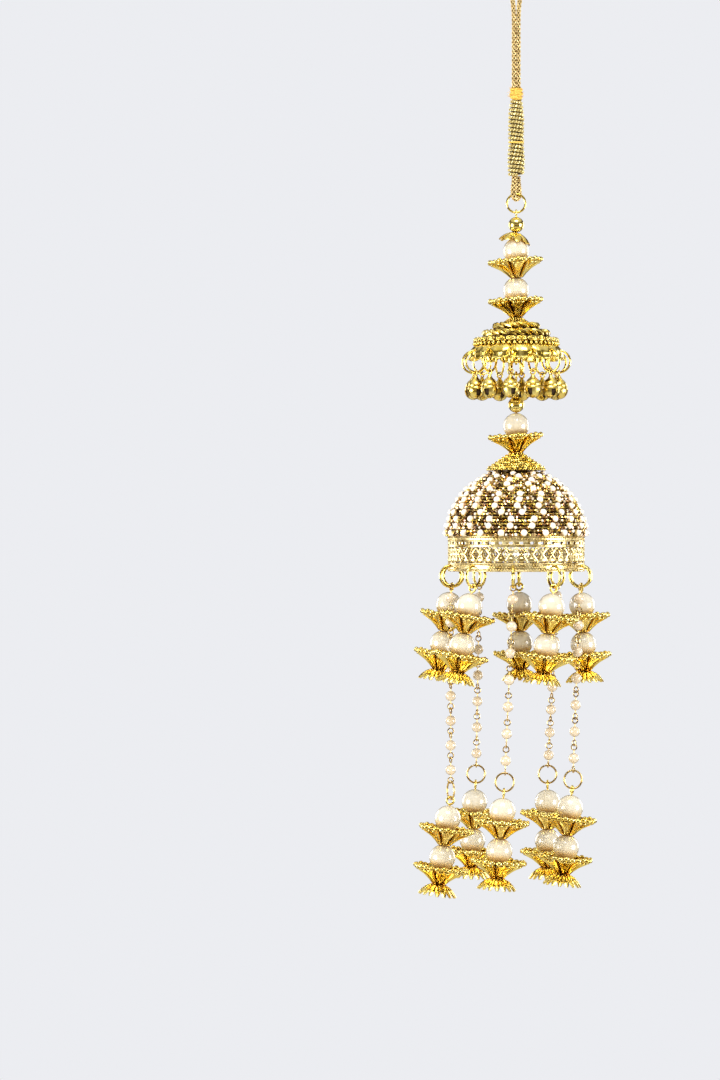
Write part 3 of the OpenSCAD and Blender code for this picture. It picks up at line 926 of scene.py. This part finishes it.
# Lower eye pin with its two small spacer beads and the plain gold bead, all of gilt brass. The
# pin goes down through pearl, cup and dome cap, and ends in a small ball.
mid_pin = piece(
    "eye_pin_middle",
    [
        (eye(1.15, 0.7), move(0, 0, -127.15) @ FACE_X, 0),
        (stem(0.3, -128.2, -158.2), Matrix(), 0),
        (grain_of(0.9), move(0, 0, -158.2), 0),
    ],
    bright_gold,
)
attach(mid_pin, "lower")
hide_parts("mid_pin")
spacer = ball(2.3, 0.42, rings=12, steps=24)
spacer_beads = piece(
    "spacer_beads_pair",
    [(spacer, move(0, 0, -129.9), 0), (spacer, move(0, 0, -132.3), 0)],
    bright_gold,
)
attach(spacer_beads, "lower")
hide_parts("spacer_beads")
mid_bead = piece("gold_bead_middle", [(ball(5, 0.42), move(0, 0, -136.05), 0)], bright_gold)
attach(mid_bead, "lower")
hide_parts("gold_bead_mid")


# Dome cap: seven rounds of fine twisted wire soldered to a shallow cone, and a rim of small
# curls with grains between them.
# the cone under the twisted wire is near-black, painted shade between the rounds
cap_core = turned([
    (0.42, -150.5), (1.2, -150.7), (1.6, -151.2), (8.5, -155.7), (8.6, -156.4), (8.0, -156.3),
    (0.42, -152.0),
], steps=48)
cap = [(cap_core, Matrix(), 1)]
twist_pitch = 1.5
for n in range(7):
    part = n / 6
    reach = 2.0 + 6.3 * part
    turns = max(6, round(2 * math.pi * reach / twist_pitch))
    cap.append((rope(reach, -151.3 - 4.25 * part, 2, turns, 0.27, 0.5, per_turn=9), Matrix(), 0))
curls = 34
curl = move(0, -8.75, -155.9) @ spin_about("X", 52)
cap += all_round([(ring_of(0.55, 0.34, steps=14, sides=6, joint=0), curl, 0)], curls)
cap += all_round([(grain_small, move(0, -9.0, -156.2), 0)], curls, start=5.3)
dome_cap = piece("dome_cap_wirework", cap, deep_gold, shade_and_dark_crystal, sharp=55)
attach(dome_cap, "lower")
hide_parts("dome_cap")


# Dome: a brass bowl, near-black outside as painted shade between the beads, hidden under twelve
# rows of small white pearls, each set in a gold ring. Between them, two lines of small champagne,
# amber, rose, gold, white and dark crystals fill every row, and two fine wires run round it.
dome_z = -177.9
bead_reach = 21.85
first_tilt, row_step = 5.5, 5.7
bead_rows = [
    # pearls round the row, turn in degrees of the pearl nearest the front
    (20, 3.3), (20, -7.1), (19, -6.3), (19, 3.0), (18, -2.1), (17, 0.0), (16, 1.7), (14, -8.6),
    (13, -14.6), (11, -12.0), (9, 2.0), (8, -9.0),
]
small_pearl = grain_of(1.04, 14, 9)
stones_a_gap = 14
crystal = bmesh.new()
bmesh.ops.create_icosphere(crystal, subdivisions=1, radius=0.55)
crystal = shape_of(crystal)
stone_kinds = (0, 0, 1, 2, 3, 3, 4, 5)
pearl_ring = ring_of(1.02, 0.26, steps=14, sides=5, joint=0)
random.seed(23)
pearls_set, stones_set, wire_set = [], [], []
for row, (count, turn) in enumerate(bead_rows):
    tilt = spin_about("X", -first_tilt - row_step * row)
    for n in range(count):
        around = turn + 360 / count * n + random.uniform(-0.6, 0.6)
        seat = move(0, 0, dome_z) @ spin_about("Z", around) @ tilt
        pearls_set.append((small_pearl, seat @ move(0, -bead_reach, 0), 0))
        wire_set.append((pearl_ring, seat @ move(0, 0.25 - bead_reach, 0) @ FACE_Y, 1))
        for k in range(stones_a_gap):
            aside = (k // 2 + 1) / 8 * 360 / count + random.uniform(-0.7, 0.7)
            spot = (
                move(0, 0, dome_z) @ spin_about("Z", around + aside) @ tilt
                @ move(0, random.uniform(-0.05, 0.45) - bead_reach, 0.55 * (-1) ** k)
                @ spin_about("Y", random.uniform(0, 360)) @ spin_about("X", random.uniform(0, 360))
            )
            wide, deep = random.uniform(0.7, 1.25), random.uniform(0.7, 1.1)
            stones_set.append((crystal, spot @ stretch(wide, 1, deep), random.choice(stone_kinds)))
    for lift in (-1.5, 1.5):
        a = math.radians(90 - first_tilt + lift - row_step * row)
        reach = bead_reach + 0.1
        wire_set.append((
            ring_of(reach * math.sin(a), 0.22, steps=96, sides=5, joint=0),
            move(0, 0, dome_z + reach * math.cos(a)), 1,
        ))
# the cap stands on a near-black wire ring, out of sight, painted as the shadow under its rim
wire_set.append((ring_of(6, 0.9, steps=48, joint=0), move(0, 0, -156.65), 0))


def bowl(outer, inner, low, steps=72, arcs=24, hole=0.5):
    """A made shape: a bowl turned upside down, with a small hole on top."""
    outline = []
    for reach, order in ((outer, range(arcs + 1)), (inner, range(arcs, -1, -1))):
        top = math.asin(hole / reach)
        bottom = math.acos((low - dome_z) / reach)
        for n in order:
            a = bottom + (top - bottom) * n / arcs
            outline.append((reach * math.sin(a), dome_z + reach * math.cos(a)))
    return turned(outline, steps)


champagne = gold_finish("champagne_crystal", (1.0, 0.80, 0.42), (0.84, 0.52, 0.22), 0.08, 0)
amber = gold_finish("amber_crystal", (0.62, 0.34, 0.10), (0.36, 0.16, 0.04), 0.06, 0)
rose = gold_finish("rose_crystal", (0.90, 0.62, 0.46), (0.66, 0.38, 0.24), 0.08, 0)
white_coat = pearl_finish("white_coat", (1.0, 0.97, 0.89), (0.97, 0.92, 0.80), 0.3)
inner_brass = gold_finish("inner_brass", (0.85, 0.60, 0.20), (0.70, 0.44, 0.11), 0.28, 0.3)
bowl_low = -176.72
dome_bowl = piece(
    "dome_bowl",
    [(bowl(21.3, 21.0, bowl_low), Matrix(), 0), (bowl(20.98, 20.7, bowl_low), Matrix(), 2)]
    + wire_set,
    shade_and_dark_crystal, bright_gold, inner_brass,
)
dome_pearls = piece("dome_pearls", pearls_set, white_coat)
dome_crystals = piece(
    "dome_crystals", stones_set,
    champagne, amber, rose, bright_gold, white_coat, shade_and_dark_crystal, sharp=5,
)
for set_piece in (dome_bowl, dome_pearls, dome_crystals):
    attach(set_piece, "lower")
    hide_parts("dome")


# Lace band: pressed and pierced gilt strip, its inward faces painted dark as shade, bent round and
# soldered under the dome. From the top it has a plain edge, a line of slots, a lattice with
# leaves, and a border with three lines of dots.
band_r = 21.1
motifs = 40


def hoop(top, bottom, reach=band_r, wall=0.45):
    """A made shape: a flat hoop with softened edges."""
    return turned([
        (reach - wall, top), (reach - 0.1, top), (reach, top - 0.1), (reach, bottom + 0.1),
        (reach - 0.1, bottom), (reach - wall, bottom),
    ], steps=120)


def strip(wide, tall, deep):
    """A made shape: a small flat bar with softened edges, facing the front."""
    bm = bmesh.new()
    bmesh.ops.create_cube(bm, size=1)
    bmesh.ops.scale(bm, vec=(wide, deep, tall), verts=bm.verts)
    bmesh.ops.bevel(
        bm, geom=bm.edges[:], offset=min(wide, tall, deep) * 0.25, affect="EDGES",
        segments=1, profile=0.5, material=-1,
    )
    return shape_of(bm)


band_gold = gold_finish("band_gold", (1.0, 0.88, 0.50), (0.93, 0.72, 0.28), 0.28, 0.2, 0.002)
# dark brown gilt, painted shade on the band's inner side
band_inside_shade = gold_finish("band_inside_shade", (0.40, 0.23, 0.06), (0.20, 0.10, 0.02), 0.5, 0.4)
lattice_z = -182.4
lace = [
    (hoop(-176.8, -178.45), Matrix(), 0),
    (hoop(-179.4, -180.25), Matrix(), 0),
    (hoop(-185.05, -187.5), Matrix(), 0),
]
for reach, wire, z in [
    (21.0, 0.42, -187.5), (21.05, 0.34, -176.97), (21.1, 0.26, -178.4), (21.1, 0.26, -179.5),
    (21.1, 0.26, -185.15),
]:
    lace.append((ring_of(reach, wire, steps=120, sides=8, joint=0), move(0, 0, z), 0))
out = band_r - 0.22
half_step = spin_about("Z", 180 / motifs)
leaf = ring_of(0.6, 0.42, steps=14, sides=6, joint=0)
lobe = grain_of(1)
motif = [
    (strip(2.1, 1.2, 0.4), half_step @ move(0, -out, -178.93), 0),
    (strip(0.7, 5.5, 0.36), move(0, -out, lattice_z) @ spin_about("Y", 37), 0),
    (strip(0.7, 5.5, 0.36), move(0, -out - 0.05, lattice_z) @ spin_about("Y", -37), 0),
    (lobe, move(0, -out, lattice_z) @ stretch(0.62, 0.42, 0.62), 0),
    (lobe, move(0, -out, -180.95) @ stretch(0.5, 0.38, 0.55), 0),
    (lobe, move(0, -out, -184.05) @ stretch(1.3, 0.34, 0.85), 0),
    (lobe, half_step @ move(0, -out, -180.6) @ stretch(0.5, 0.4, 0.5), 0),
    (leaf, half_step @ move(0, -out - 0.02, lattice_z) @ FACE_Y @ stretch(0.8, 1.35, 1), 0),
    (strip(0.6, 1.5, 0.36), half_step @ move(0, -out, -184.6), 0),
]
lace += all_round(motif, motifs, start=2)
dot = grain_of(0.22)
dots_round = 150
for line, z in enumerate((-185.65, -186.35, -187.05)):
    lace += all_round([(dot, move(0, -band_r, z), 0)], dots_round, start=1.2 * (line % 2))
lace += all_round([(strip(0.2, 1.0, 0.24), move(0, -band_r, -177.65), 0)], dots_round)
lace_band = piece("pierced_lace_band", lace, band_gold, band_inside_shade, sharp=45)
# painted shade: faces turned inward take the dark finish
for face in lace_band.data.polygons:
    outward = Vector((face.center.x, face.center.y, 0)).normalized()
    if face.normal.dot(outward) < -0.3:
        face.material_index = 1
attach(lace_band, "lower")
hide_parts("lace_band")


# Band rings: ten gilt jump rings of round wire through the border of the band. Short drops and
# long chains hang from them in turn.
ring_count, first_ring = 10, 31
ring_step = 360 / ring_count
band_ring_out, band_ring_z, band_ring_r = 20.95, -189.175, 3.275
band_ring = ring_of(band_ring_r, 0.85, steps=44, sides=12, joint=2.5)
rings = []
for n in range(ring_count):
    place = spin_about("Z", first_ring + ring_step * n) @ move(0, -band_ring_out, band_ring_z)
    joint_turn = spin_about("Z", random.uniform(150, 215))
    rings.append((band_ring, place @ FACE_X @ joint_turn, 0))
band_rings = piece("band_jump_rings", rings, bright_gold)
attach(band_rings, "lower")
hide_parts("band_rings")


# Drops: a head pin carries pearl, cup, pearl, cup and a flower of sixteen grained petals. Five
# short ones hang straight from the band rings.
flower_rows = [
    # along, distance, height, half width in degrees
    (0.0, 0.9, 0.1, 11.3), (0.25, 2.2, -0.2, 11.3), (0.5, 3.5, -0.8, 11.3),
    (0.75, 4.7, -1.8, 10.6), (1.0, 5.7, -3.2, 2.5),
]


def flower_petal(s, t):
    """One narrow petal of the flower."""
    r, z, half = between(flower_rows, t)
    return polar(r, half * s, z - 0.3 * s * s)


flower_grain = grain_of(0.25)
flower = [(sheet(4, 6, flower_petal, 0.25), Matrix(), 0)] + [
    (flower_grain, Matrix.Translation(flower_petal(s, t) + Vector((0, 0, 0.12))), 0)
    for s, t in [
        (0, 0.3), (-0.55, 0.43), (0.55, 0.43), (0, 0.55), (-0.6, 0.66), (0.6, 0.66),
        (0, 0.78), (0, 0.92), (-0.9, 0.82),
    ]
]
flower_hub = turned([(0.42, 0.3), (1.2, 0.1), (1.9, -0.25), (2.3, -0.7), (0.42, -0.5)], steps=24)
head = ball(1.5, 0.05, rings=8, steps=14)
drop_eye = eye(1.15, 0.7)
# heights under the ring that the drop hangs on
eye_down, pin_top, pin_low, head_down = -0.275, -1.4, -27.7, -27.723
pearl_downs, cup_down, flower_down = (-5.875, -18.073), -14.225, -26.423


def hang_at_band(angle, lean):
    """Place of what hangs at one point of the band, its origin on the ring's lowest wire."""
    a = math.radians(angle)
    return (
        spin_about("Z", angle) @ move(0, -band_ring_out, band_ring_z)
        @ spin_about("X", lean * math.sin(a)) @ move(0, 0, -band_ring_r)
        @ spin_about("Y", lean * math.cos(a))
    )


def hang_drop(kind, number, place):
    """The three pieces of one drop: its pin, its pearls, and its cups with the flower."""
    pin = piece(
        "%s_drop_pin_%d" % (kind, number),
        [
            (drop_eye, place @ move(0, 0, eye_down) @ FACE_Y @ spin_about("Z", 90), 0),
            (stem(0.3, pin_top, pin_low), place, 0),
            (head, place @ move(0, 0, head_down), 0),
        ],
        bright_gold,
    )
    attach(pin, "lower")
    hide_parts("%s_pin_%d" % (kind, number))
    pearls = piece(
        "%s_drop_pearls_%d" % (kind, number),
        [(pearl, place @ move(0, 0, z), 0) for z in pearl_downs],
        pearl_coat,
    )
    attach(pearls, "lower")
    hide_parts("%s_pearls_%d" % (kind, number))
    below = place @ move(0, 0, flower_down)
    cups = piece(
        "%s_drop_cups_%d" % (kind, number),
        lotus_cup(place @ move(0, 0, cup_down) @ spin_about("Z", 17 * number))
        + lotus_cup(below @ spin_about("Z", 29 * number))
        + all_round(flower, 16, below) + [(flower_hub, below, 0)],
        cup_gold, sharp=60,
    )
    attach(cups, "lower")
    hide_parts("%s_cups_%d" % (kind, number))


for n, lean in enumerate((7, -2, -1, 9, 10)):
    hang_drop("short", n + 1, hang_at_band(first_ring + 2 * ring_step * n, lean))


# Chains: peach pearl beads of 3.2 mm, each on a short wire with an eye at both ends, hooked one
# into the next. A jump ring at the end of each holds a long drop.
peach_coat = pearl_finish("peach_coat", (0.76, 0.665, 0.52), (0.68, 0.56, 0.40), 0.24)
wire_gold = gold_finish("wire_gold", (0.80, 0.62, 0.27), (0.55, 0.36, 0.11), 0.24, 0.05)
chain_bead = ball(3.2, 0.32, rings=14, steps=24)
chain_eye_r, end_ring_r = 0.9, 2.8
chain_eye = ring_of(chain_eye_r, 0.4, steps=20, sides=8, joint=8)
end_ring = ring_of(end_ring_r, 0.6, steps=40, joint=3)
hook = 1.3
long_drops = [
    # beads, length, lean of the chain, turn of its end, extra lean of the drop
    (7, 57.3, 2, -55, 4), (8, 57.3, 3, 35, -3), (7, 57.3, 1, -31, 2), (8, 60.8, 0, 8, 8),
    (7, 57.3, 2.5, 5, 2),
]
for n, (count, length, lean, turn, drop_lean) in enumerate(long_drops):
    angle = first_ring + ring_step * (2 * n + 1)
    at_ring = hang_at_band(angle, lean)
    pitch = length / count
    half = (pitch - hook) / 2
    neck = half - chain_eye_r
    post = stem(0.17, neck, -neck)
    beads, links_made = [], []
    for k in range(count):
        spot = at_ring @ move(0, 0, -0.175 - half - k * pitch) @ spin_about("Z", turn * k / count)
        beads.append((chain_bead, spot, 0))
        links_made.append((chain_eye, spot @ move(0, 0, half) @ FACE_Y @ spin_about("Z", 90), 0))
        links_made.append((post, spot, 0))
        links_made.append((chain_eye, spot @ move(0, 0, -half) @ FACE_X @ spin_about("Z", 180), 0))
    end_z = 0.825 - length - end_ring_r
    end_place = at_ring @ move(0, 0, end_z) @ spin_about("Z", turn)
    links_made.append((end_ring, end_place @ FACE_Y @ spin_about("Z", 70), 0))
    chain_beads = piece("chain_%d_beads" % (n + 1), beads, peach_coat)
    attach(chain_beads, "lower")
    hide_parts("chain_%d" % (n + 1))
    chain_links = piece("chain_%d_links" % (n + 1), links_made, wire_gold)
    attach(chain_links, "lower")
    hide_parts("chain_%d" % (n + 1))
    b = math.radians(angle + turn)
    hang_drop(
        "long", n + 1,
        end_place @ spin_about("Y", drop_lean * math.cos(b)) @ move(0, 0, -end_ring_r)
        @ spin_about("X", drop_lean * math.sin(b)) @ spin_about("Z", 90)
        @ move(0, 0, -0.125),
    )
